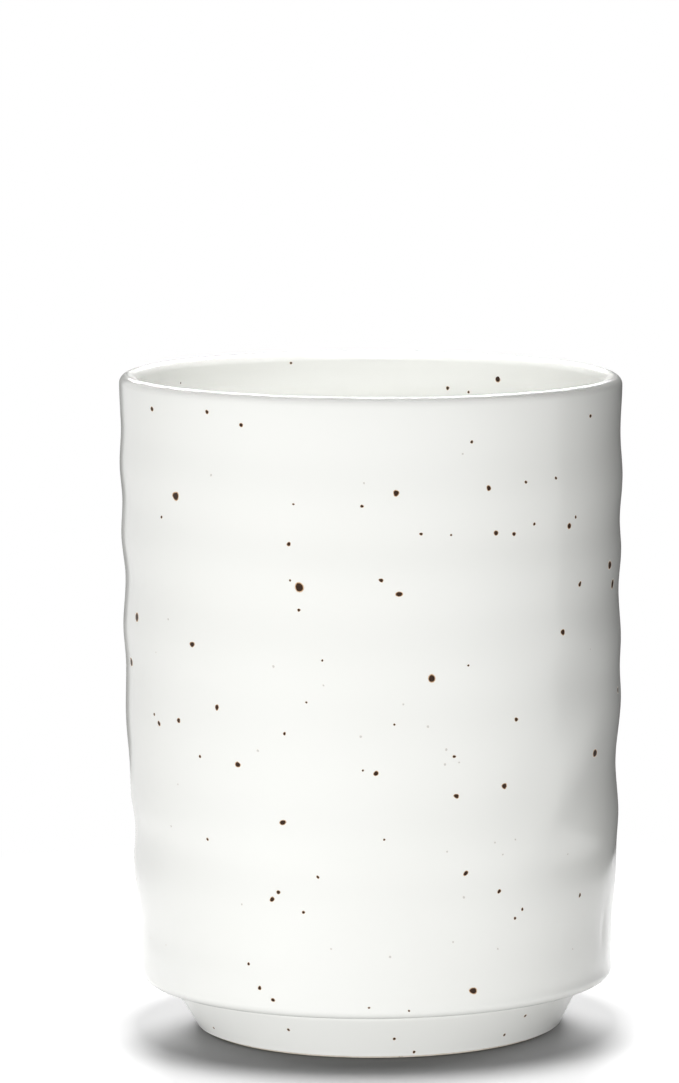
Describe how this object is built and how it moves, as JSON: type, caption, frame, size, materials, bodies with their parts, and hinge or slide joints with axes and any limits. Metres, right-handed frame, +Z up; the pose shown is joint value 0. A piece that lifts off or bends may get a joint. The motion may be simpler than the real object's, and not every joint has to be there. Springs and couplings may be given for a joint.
{
  "type": "spoon holder cup",
  "caption": "Nearly cylindrical white speckled stoneware cup with soft throwing rings and a rounded lip, on a narrower tapered foot, for keeping spoons upright.",
  "frame": {"origin": "middle of the flat face that the cup stands on", "axes": "+Z up along the cup's axis, out of its mouth; the cup is round, so X and Y are level and free, and -Y is the side the picture shows"},
  "size_m": [0.076, 0.076, 0.0995],
  "materials": {
    "clay": "bare fired stoneware, matte, warm off-white",
    "glaze": "satin white glaze with dark brown iron specks"
  },
  "bodies": {
    "root": {"cup_body": "clay", "foot_ring": "clay", "outer_glaze": "glaze", "liner_glaze": "glaze", "foot_glaze": "glaze", "recess_glaze": "glaze"}
  },
  "joints": []
}
